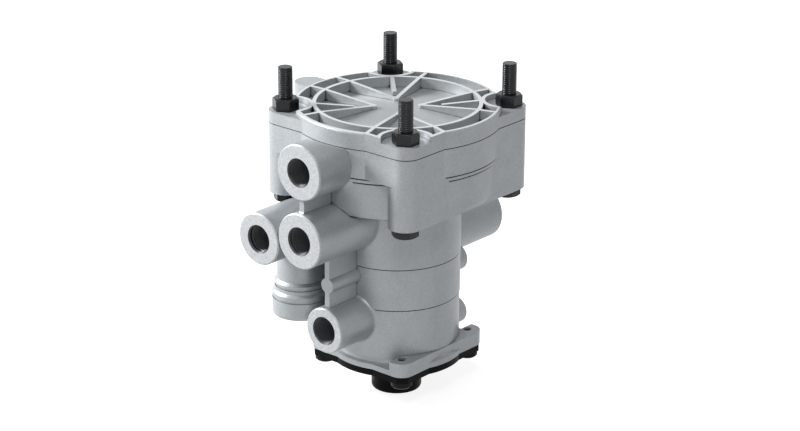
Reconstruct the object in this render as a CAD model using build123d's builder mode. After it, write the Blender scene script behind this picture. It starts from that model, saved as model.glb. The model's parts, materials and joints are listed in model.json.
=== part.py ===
"""Trailer control valve: a relay valve for a two-line trailer brake.

All sizes are in millimetres. Z is the axis of the main bore, and z = 0 is the plane on
top of the four nuts, where a mounting bracket bears. The front ports point to -Y.
"""

import os
from math import atan2, cos, degrees, hypot, radians, sin, sqrt

from build123d import *

os.makedirs("parts", exist_ok=True)

# Driving dimensions: fasteners
bolt_pitch = 86.4  # square of the four cover bolts
bolt_thread_r = 4.0
bolt_core_r = 3.6  # the thread's pitch radius, on which bolt and nut meet
bolt_hole_r = 4.4
bolt_end_chamfer = 1.0
stud_length = 17.3  # bolt end above its nut
hex_flats = 13.0
hex_turn = 30.0  # degrees, so that one corner points along Y
hex_chamfer = 0.9
nut_height = 6.8
bolt_head_height = 5.3
spot_face_r = 8.3  # flat cut for each bolt head under its column
spot_face_depth = 6.0
screw_pitch = 56.6  # square of the four bottom screws
screw_r = 2.3
screw_hole_r = 2.6
screw_head_r = 5.9
screw_head_height = 3.9
screw_socket_r = 1.9
screw_socket_depth = 2.0
screw_tip_gap = 1.2  # tapped hole left free above the screw
thread_gap = 0.05

# Driving dimensions: heights of the castings, measured down from the nut seat
cover_depth = 7.0
parting_line_height = 0.5
parting_line_depth = 0.4
rim_height = 3.0
rim_round = 1.2
band_bottom = 22.6
bead_height = 2.5
column_bottom = 47.0
seam_a = 82.0
seam_b = 106.1
pad_height = 8.1
flange_height = 3.0

# Driving dimensions: outlines of the castings
column_r = 9.3  # round columns about the cover bolts
band_bulge = 4.8  # of the round band beyond the sides of the columns
bead_step = 0.7
bowl_step = 1.0
bowl_round = 4.8
boss_root_round = 2.5
barrel_foot_round = 2.5
barrel_r = 35.7
seam_step = 0.3
flange_r = 37.8
flange_ear_r = 7.2
pad_width = 10.0

# Driving dimensions: top cover
rib_width = 2.2
ring_inset = 11.7  # from the rim's outer wall to the middle of the ring rib
scallop_r = 13.2
pocket_depth = 3.0  # below the nut seat
dish_inset = 7.6  # from the ring rib to the foot of the dish
dish_hub_r = 14.0
dish_hub_drop = 0.6
rib_tip_r = 12.3
rib_tip_height = 1.0
rib_nose_r = 1.9
rib_nose_shift = 0.9  # outwards, from the point where the ribs cross to the centre of their nose
spoke_end_r = 24.0
rib_foot_side = 24.0  # degrees from the Y axis to the feet of the ribs at the rim
rib_foot_right = 23.0  # degrees from the +X axis
rib_foot_left = 11.0  # degrees from the -X axis
spigot_depth = 3.0
spigot_wall = 5.0
cover_web = 3.8
stop_boss_r = 12.0

# Driving dimensions: duct boss on the -X side
duct_reach = 8.2  # from the wall of the band to the boss's centre
duct_r = 8.4
duct_top_height = 0.8
duct_height = 12.0
duct_tail = 14.0
duct_taper = 22.0

# Driving dimensions: ports
port_face_y = -79.5
port_a_drop = 17.2
port_b_step = 9.0  # below the columns
port_ab_r = 15.6
port_a_slope_y = -70.0  # where the boss top starts to fall towards the parting line
port_c_x = -30.0
port_c_drop = 62.3
port_c_r = 14.7
port_c_end_y = -18.0
port_d_face_y = -60.5
port_d_rise = 5.3  # above the top of the valve guide
port_d_r = 13.0
port_e_face_y = 73.9
port_e_rise = 7.9  # above the inlet seat
port_e_r = 16.2
port_bore_r = 7.25  # tapping size of the M16 x 1.5 ports
port_mouth_r = 8.1
port_mouth_depth = 0.9
port_a_thread = 18.0  # depth of the threaded bore
port_b_thread = 17.0
port_c_thread = 16.0
port_d_thread = 18.0
port_e_thread = 18.0
passage_r = 4.5
boss_chamfer = 0.7
boss_embed = 12.0  # how far a boss runs on inside the wall that it grows from

# Driving dimensions: webs and small bosses
web_width = 3.2
web_setback = 2.8  # behind the face of port D
rib_setback = 2.4  # behind the faces of ports A and B
pin_boss_r = 4.3
pin_boss_drop = 88.0
rear_boss_x = 10.0
rear_boss_r = 7.7
rear_boss_end_y = 40.5
rear_boss_drops = (97.0, 129.4)

# Driving dimensions: side cylinder of the throttle valve
side_x = -29.5
side_y = -47.0
side_neck_r = 13.2
side_collar_r = 14.7
side_foot_r = 16.0
side_collar_length = 21.6  # from the collar's top to the bottom of the cylinder
side_foot_length = 15.4
side_step = 1.5
side_groove_rise = 3.2  # of the upper groove above the foot
side_groove_step = 3.8  # of the lower groove below the top of the foot
side_groove_width = 1.2
side_groove_depth = 0.5
side_lip = 2.6  # below the cap
side_round = 2.0
side_bridge_width = 11.0
side_bridge_length = 22.0
side_bridge_rise = 4.6  # above the bottom of the cylinder
side_bore_r = 10.0
side_bore_step = 17.7  # below the axis of port C
side_port_rise = 3.5  # above the cap
side_port_r = 3.5

# Driving dimensions: bores of the body
bowl_wall = 9.6
bowl_floor = 5.5
stem_r = 9.0
barrel_wall = 7.7
lower_bore_step = 1.0
running_gap = 0.05
seal_gap = 0.03

# Driving dimensions: seals, as ring sections
seal_large = 2.6
seal_small = 2.0
seal_static = 2.0
seal_side_gap = 0.25
seal_room = 0.6  # groove height beyond the seal's section
seal_corner = 0.3  # corner cut, as a part of the section's width
cover_seal_land = 1.8  # between the bowl's bore and the groove

# Driving dimensions: pistons and valve, heights measured down from the nut seat
head_piston_top = 23.0
head_piston_height = 10.0
head_piston_web = 3.5
head_piston_rim = 5.0
head_piston_hub_r = 10.0
head_rib_width = 3.0
head_rib_count = 6
stop_gap = 0.2
push_length = 9.0  # of the stem below the bowl, to where it pushes on the relay piston
push_gap = 0.1
relay_hub_height = 5.9
relay_height = 8.0
relay_web = 4.0
relay_rim = 4.5
relay_hub_r = 9.0
relay_tube_r = 8.0
relay_tube_bore_r = 6.0
exhaust_gap = 1.6
relay_room = 18.0  # between the relay piston and the inlet seat
seat_height = 8.0
seat_bore_r = 11.0
seat_lip_r = 12.4
seat_lip_height = 1.2
valve_disc_r = 15.0
valve_disc_height = 2.4
valve_plate_r = 16.2
valve_plate_height = 2.6
valve_rim_height = 1.4
valve_tube_r = 7.5
valve_tube_bore_r = 5.5
valve_tube_end = 1.0  # below the guide
guide_post_length = 23.0
guide_well_r = 20.0
guide_well_depth = 9.0
guide_hub_r = 11.0
guide_floor = 3.0
guide_skirt = 10.0
guide_post_depth = 3.0
guide_post_count = 4
guide_post_start = 40.0  # degrees, clear of the inlet passages
guide_post_width = 7.0

# Driving dimensions: springs
spring_clear = 0.05
head_spring_r = 17.0
head_spring_wire = 1.0
head_spring_turns = 2.5
relay_spring_r = 14.0
relay_spring_wire = 0.8
relay_spring_turns = 5
valve_spring_r = 13.0
valve_spring_wire = 0.8
valve_spring_turns = 6
side_spring_r = 5.4
side_spring_wire = 0.55
side_spring_turns = 7

# Driving dimensions: bottom cover and exhaust
bottom_plate = 4.0
bottom_plate_inset = 0.4
bottom_corner_cut = 4.6
bottom_hole_r = 11.5
stub_r = 14.2
stub_length = 21.0
stub_wall = 2.2
stub_round = 1.5
stub_neck_wall = 1.6
stub_lip = 1.0
stub_lip_height = 1.2
spider_depth = 11.0  # below the bottom cover
spider_height = 2.4
spider_arms = 4
spider_arm_width = 2.6
spider_hub_r = 4.0
flap_stem_r = 1.8
flap_button_r = 2.8
flap_button_height = 1.2
flap_height = 1.4
flap_edge_gap = 0.3

# Driving dimensions: throttle valve in the side cylinder
side_piston_height = 14.0
side_piston_bore_r = 6.6
side_piston_crown = 3.0
side_piston_orifice_r = 1.0
side_cap_depth = 25.5  # below the top of the bore
side_cap_height = 6.5
side_cap_recess_r = 5.0
side_cap_recess = 2.5
side_cap_pin_r = 4.4
side_cap_pin = 2.0
side_clip_height = 1.2
side_clip_depth = 1.0
side_clip_width = 2.4
side_clip_slot = 6.0
side_clip_gap = 0.1


def below(drop):
    """Height of a level that lies this far below the nut seat."""
    return -nut_height - drop


# Levels and outlines of the castings, worked out from the driving dimensions
seat_z = below(0)
rim_z = below(-rim_height)
parting_z = below(cover_depth)
floor_z = below(pocket_depth)
bead_bottom = band_bottom + bead_height
half_width = bolt_pitch / 2 + column_r
band_r = half_width + band_bulge
bead_r = band_r - bead_step
bowl_r = bead_r - bowl_step
wall_mid_r = barrel_r - seam_step
wall_low_r = barrel_r - 2 * seam_step
wall_foot_r = wall_low_r + barrel_foot_round
hex_corner_r = hex_flats / sqrt(3)

# Bores of the body
head_bore_r = bowl_r - bowl_wall
head_bore_bottom = column_bottom - bowl_floor
main_bore_r = barrel_r - barrel_wall
lower_bore_r = main_bore_r + lower_bore_step
cover_seal_r = head_bore_r + cover_seal_land

# Cover
ring_r = band_r - ring_inset
ring_inner_r = ring_r - rib_width / 2
ring_outer_r = ring_r + rib_width / 2
dish_r = ring_r - dish_inset
rim_centre_r = band_r - rib_width / 2
scallop_outer_r = scallop_r + rib_width
duct_x = -band_r - duct_reach
stop_drop = cover_depth + spigot_depth

# Pistons, one under the other
head_piston_r = head_bore_r - running_gap
head_piston_bottom = head_piston_top + head_piston_height
head_piston_under = head_piston_top + head_piston_web
push_drop = column_bottom + push_length
relay_head = push_drop + push_gap
relay_top = relay_head + relay_hub_height
relay_r = main_bore_r - running_gap
relay_bottom = relay_top + relay_height
relay_under = relay_top + relay_web

# Inlet seat, valve and guide, down to the lower flange
seat_top = relay_bottom + relay_room
seat_face = seat_top + seat_height
seat_bottom = seat_face + seat_lip_height
relay_tip = seat_bottom - exhaust_gap
insert_r = lower_bore_r - running_gap
valve_plate_top = seat_bottom + valve_disc_height
valve_plate_bottom = valve_plate_top + valve_plate_height
guide_top = seat_face + guide_post_length
guide_well_floor = guide_top + guide_well_depth
guide_under = guide_well_floor + guide_floor
tube_guide_r = valve_tube_r + running_gap
valve_tube_bottom = guide_under + valve_tube_end
flange_bottom = guide_under + guide_skirt
flange_top = flange_bottom - flange_height
pad_top = flange_bottom - pad_height
flange_half = screw_pitch / 2 + flange_ear_r

# Bottom cover and exhaust stub
plate_bottom = flange_bottom + bottom_plate
plate_side = 2 * (flange_half - bottom_plate_inset)
neck_r = bottom_hole_r - running_gap
stub_inner_r = stub_r - stub_wall
stub_bottom = plate_bottom + stub_length
spider_drop = plate_bottom + spider_depth
spider_bottom = spider_drop + spider_height
flap_r = stub_inner_r - flap_edge_gap

# Ports, and the webs between them
port_b_drop = column_bottom + port_b_step
port_d_drop = guide_top - port_d_rise
port_e_drop = seat_top - port_e_rise
web_front_y = port_d_face_y + web_setback
rib_front_y = port_face_y + rib_setback
mouth_angle = degrees(atan2(port_mouth_r - port_bore_r, port_mouth_depth))

# Side cylinder and its throttle valve
side_distance = hypot(side_x, side_y)
side_angle = degrees(atan2(side_y, side_x))
side_aim = (-side_x, -side_y, 0)
side_bore_top = port_c_drop + side_bore_step
side_piston_r = side_bore_r - running_gap
side_piston_top = side_bore_top + stop_gap
side_piston_bottom = side_piston_top + side_piston_height
side_cap_top = side_bore_top + side_cap_depth
side_cap_bottom = side_cap_top + side_cap_height
side_bottom = side_cap_bottom + side_lip
side_foot_top = side_bottom - side_foot_length
side_collar_top = side_bottom - side_collar_length
side_groove_drops = (side_foot_top - side_groove_rise, side_foot_top + side_groove_step)
side_bridge_bottom = side_bottom - side_bridge_rise
side_bridge_top = side_bridge_bottom - side_bridge_length
side_port_drop = side_cap_top - side_port_rise
clip_drop = side_cap_bottom + side_clip_gap

# Grooves of the seals
large_groove = seal_large + seal_room
small_groove = seal_small + seal_room
head_groove = head_piston_top + (head_piston_height - large_groove) / 2
relay_groove = relay_top + (relay_height - small_groove) / 2
insert_groove = seat_top + (seat_height - small_groove) / 2
stem_groove = head_bore_bottom + (bowl_floor - small_groove) / 2
tube_groove = guide_top + (guide_well_depth - small_groove) / 2
guide_groove = guide_under + small_groove
side_groove = side_piston_top + side_piston_crown
side_cap_groove = side_cap_top + (side_cap_height - small_groove) / 2

# Front ports: x, face, drop, thread depth, inner end of the passage
front_ports = (
    (0.0, port_face_y, port_a_drop, port_a_thread, 1 - head_bore_r),
    (0.0, port_face_y, port_b_drop, port_b_thread, 1 - main_bore_r),
    (port_c_x, port_face_y, port_c_drop, port_c_thread, side_y),
    (0.0, port_d_face_y, port_d_drop, port_d_thread, 1 - lower_bore_r),
)


def square_face(shrink=0.0):
    """The outline of the upper castings: a square with round corners and bulged sides."""
    side = 2 * (half_width - shrink)
    with BuildSketch() as face:
        Circle(band_r - shrink)
        RectangleRounded(side, side, column_r - shrink)
    return face.sketch


def rim_face(shrink=0.0):
    """The outline of the cover's rim: a circle that runs out to the ear at the front corner."""
    side = half_width - shrink
    with BuildSketch() as face:
        Circle(band_r - shrink)
        with Locations((side / 2, -side / 2)):
            RectangleRounded(side, side, column_r - shrink)
    return face.sketch


def turned(points, axis_x=0.0, axis_y=0.0):
    """Turns a profile of (radius, drop) corners about a vertical axis."""
    corners = [(radius, below(drop)) for radius, drop in points]
    plane = Plane(origin=(axis_x, axis_y, 0), x_dir=(1, 0, 0), z_dir=(0, -1, 0))
    with BuildPart() as piece:
        with BuildSketch(plane):
            with BuildLine():
                Polyline(*corners, close=True)
            make_face()
        revolve(axis=Axis((axis_x, axis_y, 0), (0, 0, 1)))
    return piece.part


def groove(inner_r, outer_r, drop, height, axis_x=0.0, axis_y=0.0):
    """The ring of material that a groove takes away."""
    low = drop + height
    corners = [(inner_r, drop), (outer_r, drop), (outer_r, low), (inner_r, low)]
    return turned(corners, axis_x, axis_y)


def front_rod(centre_x, drop, radius, front_y, back_y):
    """A round bar along Y between two faces."""
    with BuildPart() as rod:
        with BuildSketch(Plane.XZ.offset(-front_y)):
            with Locations((centre_x, below(drop))):
                Circle(radius)
        extrude(amount=front_y - back_y)
    return rod.part


def rooted_boss(drop, radius, front_y, back_y, wall_r):
    """A round boss along Y with a rounded root, and the slice of round wall that the root lies on."""
    margin = radius + 2 * boss_root_round
    with BuildPart() as boss:
        with BuildSketch(Plane.XY.offset(below(drop + margin))):
            Circle(wall_r)
        extrude(amount=2 * margin)
        add(front_rod(0, drop, radius, front_y, back_y))
        root = [edge for edge in boss.edges() if min(*edge.bounding_box().size) > 0.01]
        fillet(root, boss_root_round)
        with BuildSketch(Plane.XY.offset(parting_z)):
            Circle(wall_r)
        extrude(amount=margin, mode=Mode.SUBTRACT)
    return boss.part


def seal_ring(inner_r, outer_r, drop, groove_height, axis_x=0.0, axis_y=0.0):
    """A seal with cut corners, seated in a groove whose top lies at this drop."""
    top = drop + seal_side_gap
    bottom = drop + groove_height - seal_side_gap
    cut = seal_corner * min(outer_r - inner_r, bottom - top)
    section = [
        (inner_r, top + cut),
        (inner_r + cut, top),
        (outer_r - cut, top),
        (outer_r, top + cut),
        (outer_r, bottom - cut),
        (outer_r - cut, bottom),
        (inner_r + cut, bottom),
        (inner_r, bottom - cut),
    ]
    return turned(section, axis_x, axis_y)


def coil_spring(mean_r, wire_r, turns, top, bottom, axis_x=0.0, axis_y=0.0):
    """A helical spring between two drops, with a closed coil at each end."""
    height = bottom - top - 2 * spring_clear - 2 * wire_r
    with BuildPart() as spring:
        with BuildLine() as path:
            Helix(height / turns, height, mean_r, center=(0, 0, wire_r))
        with BuildSketch(Plane(path.line @ 0, z_dir=path.line % 0)):
            RegularPolygon(wire_r, 8)
        sweep(is_frenet=True)
        for end_z in (wire_r, wire_r + height):
            with BuildSketch(Plane.XZ):
                with Locations((mean_r, end_z)):
                    RegularPolygon(wire_r, 8)
            revolve(axis=Axis.Z)
    return Pos(axis_x, axis_y, below(bottom - spring_clear)) * spring.part


def save(piece, name):
    """Labels a finished piece and writes its file."""
    piece.label = name
    export_step(piece, f"parts/{name}.step")


# Valve body: one casting with the piston bowl, the barrel, the side cylinder and the ports
with BuildPart() as valve_body:
    with BuildSketch(Plane.XY.offset(parting_z)):
        add(square_face())
    extrude(amount=-(band_bottom - cover_depth))

    # Columns about the bolts, with flat walls between them on the X sides only
    with BuildSketch(Plane.XY.offset(below(band_bottom))):
        Rectangle(2 * half_width, bolt_pitch)
        with GridLocations(bolt_pitch, bolt_pitch, 2, 2):
            Circle(column_r)
    extrude(amount=-(column_bottom - band_bottom))

    # Round bowl with its bead, and the barrel with two shallow steps
    add(
        turned(
            [
                (0, band_bottom),
                (bead_r, band_bottom),
                (bead_r, bead_bottom),
                (bowl_r, bead_bottom),
                (bowl_r, column_bottom - bowl_round),
                (bowl_r - 0.29 * bowl_round, column_bottom - 0.29 * bowl_round),
                (bowl_r - bowl_round, column_bottom),
                (barrel_r, column_bottom),
                (barrel_r, seam_a),
                (wall_mid_r, seam_a),
                (wall_mid_r, seam_b),
                (wall_low_r, seam_b),
                (wall_low_r, flange_top - barrel_foot_round),
                (wall_low_r + 0.29 * barrel_foot_round, flange_top - 0.29 * barrel_foot_round),
                (wall_foot_r, flange_top),
                (wall_foot_r, flange_bottom),
                (0, flange_bottom),
            ]
        )
    )

    # Lower flange: a thin plate all round and thick pads along the X sides
    with BuildSketch(Plane.XY.offset(below(flange_bottom))):
        Circle(flange_r)
        RectangleRounded(2 * flange_half, 2 * flange_half, flange_ear_r)
    extrude(amount=flange_bottom - flange_top)
    with BuildSketch(Plane.XY.offset(below(flange_bottom))):
        RectangleRounded(2 * flange_half, 2 * flange_half, flange_ear_r)
        Rectangle(2 * (flange_half - pad_width), 3 * flange_half, mode=Mode.SUBTRACT)
    extrude(amount=flange_bottom - pad_top)

    # Bosses of the ports and the two rear bosses
    add(rooted_boss(port_a_drop, port_ab_r, port_face_y, boss_embed - head_bore_r, bowl_r))
    add(rooted_boss(port_b_drop, port_ab_r, port_face_y, boss_embed - main_bore_r, barrel_r))
    add(front_rod(port_c_x, port_c_drop, port_c_r, port_face_y, port_c_end_y))
    add(rooted_boss(port_d_drop, port_d_r, port_d_face_y, boss_embed - main_bore_r, wall_low_r))
    add(rooted_boss(port_e_drop, port_e_r, main_bore_r, port_e_face_y, wall_mid_r))
    for drop in rear_boss_drops:
        add(front_rod(rear_boss_x, drop, rear_boss_r, main_bore_r, rear_boss_end_y))

    # Slope on top of the upper boss, which leaves the wall of the cover free
    with BuildSketch(Plane.YZ):
        with BuildLine():
            Polyline(
                (0, parting_z),
                (-band_r, parting_z),
                (port_a_slope_y, below(port_a_drop - port_ab_r)),
                (port_a_slope_y, rim_z),
                (0, rim_z),
                close=True,
            )
        make_face()
    extrude(amount=port_ab_r, both=True, mode=Mode.SUBTRACT)

    # Webs between the ports, and the pin boss that crosses the lower web
    with BuildSketch(Plane.XY.offset(below(port_a_drop))):
        with Locations((0, (rib_front_y - main_bore_r) / 2)):
            Rectangle(web_width, -rib_front_y - main_bore_r)
    extrude(amount=port_a_drop - port_b_drop)
    with BuildSketch(Plane.XY.offset(below(port_b_drop))):
        with Locations((0, (web_front_y - main_bore_r) / 2)):
            Rectangle(web_width, -web_front_y - main_bore_r)
    extrude(amount=port_b_drop - port_d_drop)
    add(front_rod(0, pin_boss_drop, pin_boss_r, web_front_y, -main_bore_r))

    # Side cylinder with its collars, and the bridge that ties it to the barrel
    add(
        turned(
            [
                (0, port_c_drop),
                (side_neck_r, port_c_drop),
                (side_neck_r, side_collar_top),
                (side_collar_r, side_collar_top + side_step),
                (side_collar_r, side_foot_top),
                (side_foot_r, side_foot_top + side_step),
                (side_foot_r, side_bottom - side_round),
                (side_foot_r - 0.3 * side_round, side_bottom - 0.3 * side_round),
                (side_foot_r - side_round, side_bottom),
                (0, side_bottom),
            ],
            side_x,
            side_y,
        )
    )
    with BuildSketch(Plane.XY.offset(below(side_bridge_top))):
        with Locations(Location((side_x / 2, side_y / 2), side_angle)):
            Rectangle(side_distance, side_bridge_width)
    extrude(amount=side_bridge_top - side_bridge_bottom)

    for drop, outer_r in zip(side_groove_drops, (side_collar_r, side_foot_r)):
        inner_r = outer_r - side_groove_depth
        ring = groove(inner_r, outer_r, drop, side_groove_width, side_x, side_y)
        add(ring, mode=Mode.SUBTRACT)

    # Duct boss, straight and then tapered into the wall
    with BuildSketch(Plane.XY.offset(parting_z)):
        with Locations((duct_x, 0)):
            Circle(duct_r)
        with Locations((duct_x / 2, 0)):
            Rectangle(-duct_x, 2 * duct_r)
    extrude(amount=-duct_height)
    with BuildSketch(Plane.XY.offset(parting_z - duct_height)):
        with Locations((duct_x, 0)):
            Circle(duct_r)
        with Locations((duct_x / 2, 0)):
            Rectangle(-duct_x, 2 * duct_r)
    extrude(amount=-duct_tail, taper=duct_taper)

    # Bores of the two pistons, of the valve and of the throttle piston
    main_bore = [
        (0, cover_depth),
        (head_bore_r, cover_depth),
        (head_bore_r, head_bore_bottom),
        (stem_r + running_gap, head_bore_bottom),
        (stem_r + running_gap, column_bottom),
        (main_bore_r, column_bottom),
        (main_bore_r, seat_top),
        (lower_bore_r, seat_top),
        (lower_bore_r, flange_bottom),
        (0, flange_bottom),
    ]
    add(turned(main_bore), mode=Mode.SUBTRACT)
    side_bore = [
        (0, port_c_drop),
        (passage_r, port_c_drop),
        (passage_r, side_bore_top),
        (side_bore_r, side_bore_top),
        (side_bore_r, side_bottom),
        (0, side_bottom),
    ]
    add(turned(side_bore, side_x, side_y), mode=Mode.SUBTRACT)

    # Passage from the side cylinder to the inlet chamber
    with BuildSketch(Plane(origin=(side_x, side_y, below(side_port_drop)), z_dir=side_aim)):
        Circle(side_port_r)
    extrude(amount=side_distance - lower_bore_r + 1, mode=Mode.SUBTRACT)

    # Threaded bores of the ports, their mouths and the passages behind them
    for port_x, face_y, drop, thread_depth, passage_end in front_ports:
        thread_end = face_y + thread_depth
        add(front_rod(port_x, drop, port_bore_r, face_y, thread_end), mode=Mode.SUBTRACT)
        add(front_rod(port_x, drop, passage_r, thread_end, passage_end), mode=Mode.SUBTRACT)
        with BuildSketch(Plane.XZ.offset(-face_y)):
            with Locations((port_x, below(drop))):
                Circle(port_mouth_r)
        extrude(amount=-port_mouth_depth, taper=mouth_angle, mode=Mode.SUBTRACT)
    rear_thread_end = port_e_face_y - port_e_thread
    rear_bore = front_rod(0, port_e_drop, port_bore_r, rear_thread_end, port_e_face_y)
    add(rear_bore, mode=Mode.SUBTRACT)
    rear_passage = front_rod(0, port_e_drop, passage_r, main_bore_r - 1, rear_thread_end)
    add(rear_passage, mode=Mode.SUBTRACT)
    with BuildSketch(Plane.XZ.offset(-port_e_face_y)):
        with Locations((0, below(port_e_drop))):
            Circle(port_mouth_r)
    extrude(amount=port_mouth_depth, taper=mouth_angle, mode=Mode.SUBTRACT)

    # Holes for the cover bolts and the bottom screws
    with BuildSketch(Plane.XY.offset(parting_z)):
        with GridLocations(bolt_pitch, bolt_pitch, 2, 2):
            Circle(bolt_hole_r)
    extrude(amount=cover_depth - column_bottom, mode=Mode.SUBTRACT)
    with BuildSketch(Plane.XY.offset(below(column_bottom))):
        with GridLocations(bolt_pitch, bolt_pitch, 2, 2):
            Circle(spot_face_r)
    extrude(amount=-spot_face_depth, mode=Mode.SUBTRACT)
    with BuildSketch(Plane.XY.offset(below(flange_bottom))):
        with GridLocations(screw_pitch, screw_pitch, 2, 2):
            Circle(screw_r + thread_gap)
    extrude(amount=flange_bottom - pad_top, mode=Mode.SUBTRACT)

    # Grooves of the cover seal, the stem seal and the snap ring
    cover_groove = groove(cover_seal_r, cover_seal_r + seal_static, cover_depth, seal_static)
    add(cover_groove, mode=Mode.SUBTRACT)
    add(groove(stem_r, stem_r + seal_small, stem_groove, small_groove), mode=Mode.SUBTRACT)
    clip_height = side_clip_height + 2 * side_clip_gap
    clip_groove_r = side_bore_r + side_clip_depth
    add(
        groove(side_bore_r - 1, clip_groove_r, side_cap_bottom, clip_height, side_x, side_y),
        mode=Mode.SUBTRACT,
    )

    # Broken edges on the port faces
    boss_rims = [
        edge
        for edge in valve_body.edges().filter_by(GeomType.CIRCLE)
        if edge.radius > port_mouth_r + 1
        and edge.bounding_box().size.Y < 0.01
        and abs(edge.center().Y) > -web_front_y
    ]
    chamfer(boss_rims, boss_chamfer)

save(valve_body.part, "valve_body")


# Top cover: a thin casting with a dished floor under a wheel of ribs
with BuildPart() as top_cover:
    with BuildSketch(Plane.XY.offset(parting_z)):
        add(square_face(parting_line_depth))
    extrude(amount=parting_line_height)
    with BuildSketch(Plane.XY.offset(parting_z + parting_line_height)):
        add(square_face())
    extrude(amount=cover_depth - pocket_depth - parting_line_height)

    # Rim, which leaves three ears flat, and the scallops about the nuts
    with BuildSketch(Plane.XY.offset(floor_z)):
        add(square_face())
        add(rim_face(rib_width), mode=Mode.SUBTRACT)
        with GridLocations(bolt_pitch, bolt_pitch, 2, 2):
            Circle(scallop_outer_r)
        add(square_face(), mode=Mode.INTERSECT)
    extrude(amount=pocket_depth)
    with BuildSketch(Plane.XY.offset(seat_z)):
        add(rim_face())
        add(rim_face(rib_width), mode=Mode.SUBTRACT)
        with GridLocations(bolt_pitch, bolt_pitch, 2, 2):
            Circle(scallop_outer_r)
        add(rim_face(), mode=Mode.INTERSECT)
        with GridLocations(bolt_pitch, bolt_pitch, 2, 2):
            Circle(scallop_r, mode=Mode.SUBTRACT)
    extrude(amount=rim_height)
    rim_arcs = [
        edge
        for edge in top_cover.edges().filter_by(GeomType.CIRCLE)
        if abs(edge.radius - band_r) < 0.01 and abs(edge.center().Z - rim_z) < 0.01
    ]
    fillet(rim_arcs, rim_round)

    # Ring rib and the dished floor inside it
    with BuildSketch(Plane.XY.offset(floor_z)):
        Circle(ring_outer_r)
        Circle(ring_inner_r, mode=Mode.SUBTRACT)
    extrude(amount=pocket_depth + rim_height)
    add(
        turned(
            [
                (0, dish_hub_drop),
                (dish_hub_r, dish_hub_drop),
                (dish_r, pocket_depth),
                (0, pocket_depth),
            ]
        )
    )

    # Four pairs of sloping ribs that meet near the centre, and the short spokes between them
    for sign_x, sign_y in ((1, 1), (1, -1), (-1, 1), (-1, -1)):
        apex = Vector(sign_x, sign_y) * (rib_tip_r / sqrt(2))
        side_turn = radians(rib_foot_side)
        end_turn = radians(rib_foot_right if sign_x > 0 else rib_foot_left)
        feet = (
            Vector(sign_x * sin(side_turn), sign_y * cos(side_turn)) * rim_centre_r,
            Vector(sign_x * cos(end_turn), sign_y * sin(end_turn)) * rim_centre_r,
        )
        for foot in feet:
            run = foot - apex
            flat_start = run.length - (rim_centre_r - ring_inner_r)
            aim = run.normalized()
            with BuildSketch(Plane(origin=apex, x_dir=aim, z_dir=aim.cross(Vector(0, 0, 1)))):
                with BuildLine():
                    Polyline(
                        (0, floor_z),
                        (run.length, floor_z),
                        (run.length, rim_z),
                        (flat_start, rim_z),
                        (0, below(-rib_tip_height)),
                        close=True,
                    )
                make_face()
            extrude(amount=rib_width / 2, both=True)
        nose = apex + Vector(sign_x, sign_y).normalized() * rib_nose_shift
        with BuildSketch(Plane.XY.offset(floor_z)):
            with Locations((nose.X, nose.Y)):
                Circle(rib_nose_r)
        extrude(amount=pocket_depth + rib_tip_height)
        aim = Vector(sign_x, sign_y).normalized()
        with BuildSketch(Plane(origin=(0, 0, 0), x_dir=aim, z_dir=aim.cross(Vector(0, 0, 1)))):
            with BuildLine():
                Polyline(
                    (spoke_end_r, floor_z),
                    (ring_r, floor_z),
                    (ring_r, rim_z),
                    (spoke_end_r, below(-rib_tip_height)),
                    close=True,
                )
            make_face()
        extrude(amount=rib_width / 2, both=True)

    # Upper half of the duct boss
    with BuildSketch(Plane.XY.offset(parting_z)):
        with Locations((duct_x, 0)):
            Circle(duct_r)
        with Locations(((duct_x - band_r + rib_width) / 2, 0)):
            Rectangle(duct_reach + rib_width, 2 * duct_r)
    extrude(amount=cover_depth + duct_top_height)

    # Underside: dished recess, spigot for the bowl and the stop of the upper piston
    add(
        turned(
            [
                (0, dish_hub_drop + cover_web),
                (dish_hub_r, dish_hub_drop + cover_web),
                (dish_r, cover_depth),
                (0, cover_depth),
            ]
        ),
        mode=Mode.SUBTRACT,
    )
    with BuildSketch(Plane.XY.offset(parting_z)):
        Circle(head_piston_r)
        Circle(head_piston_r - spigot_wall, mode=Mode.SUBTRACT)
        Circle(stop_boss_r)
    extrude(amount=-spigot_depth)
    with BuildSketch(Plane.XY.offset(parting_z)):
        Circle(stop_boss_r)
    extrude(amount=cover_depth - cover_web)

    with BuildSketch(Plane.XY.offset(rim_z)):
        with GridLocations(bolt_pitch, bolt_pitch, 2, 2):
            Circle(bolt_hole_r)
    extrude(amount=-rim_height - cover_depth, mode=Mode.SUBTRACT)

save(top_cover.part, "top_cover")


# Cover bolts: hexagon heads under the columns, waisted shanks, threaded ends above the nuts
with BuildPart() as cover_bolt:
    with BuildSketch(Plane.XY.offset(below(column_bottom))):
        RegularPolygon(hex_corner_r, 6, rotation=hex_turn)
    extrude(amount=-bolt_head_height)
    head_bottom = column_bottom + bolt_head_height
    head_form = [
        (0, column_bottom),
        (hex_corner_r, column_bottom),
        (hex_corner_r, head_bottom - hex_chamfer),
        (hex_corner_r - 2 * hex_chamfer, head_bottom),
        (0, head_bottom),
    ]
    add(turned(head_form), mode=Mode.INTERSECT)
    with BuildSketch(Plane.XY.offset(below(column_bottom))):
        Circle(bolt_core_r)
    extrude(amount=column_bottom + nut_height)
    add(
        turned(
            [
                (0, -nut_height),
                (bolt_thread_r, -nut_height),
                (bolt_thread_r, bolt_end_chamfer - nut_height - stud_length),
                (bolt_thread_r - bolt_end_chamfer, -nut_height - stud_length),
                (0, -nut_height - stud_length),
            ]
        )
    )
with BuildPart() as cover_bolts:
    with GridLocations(bolt_pitch, bolt_pitch, 2, 2):
        add(cover_bolt.part)
save(cover_bolts.part, "cover_bolts")


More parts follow.
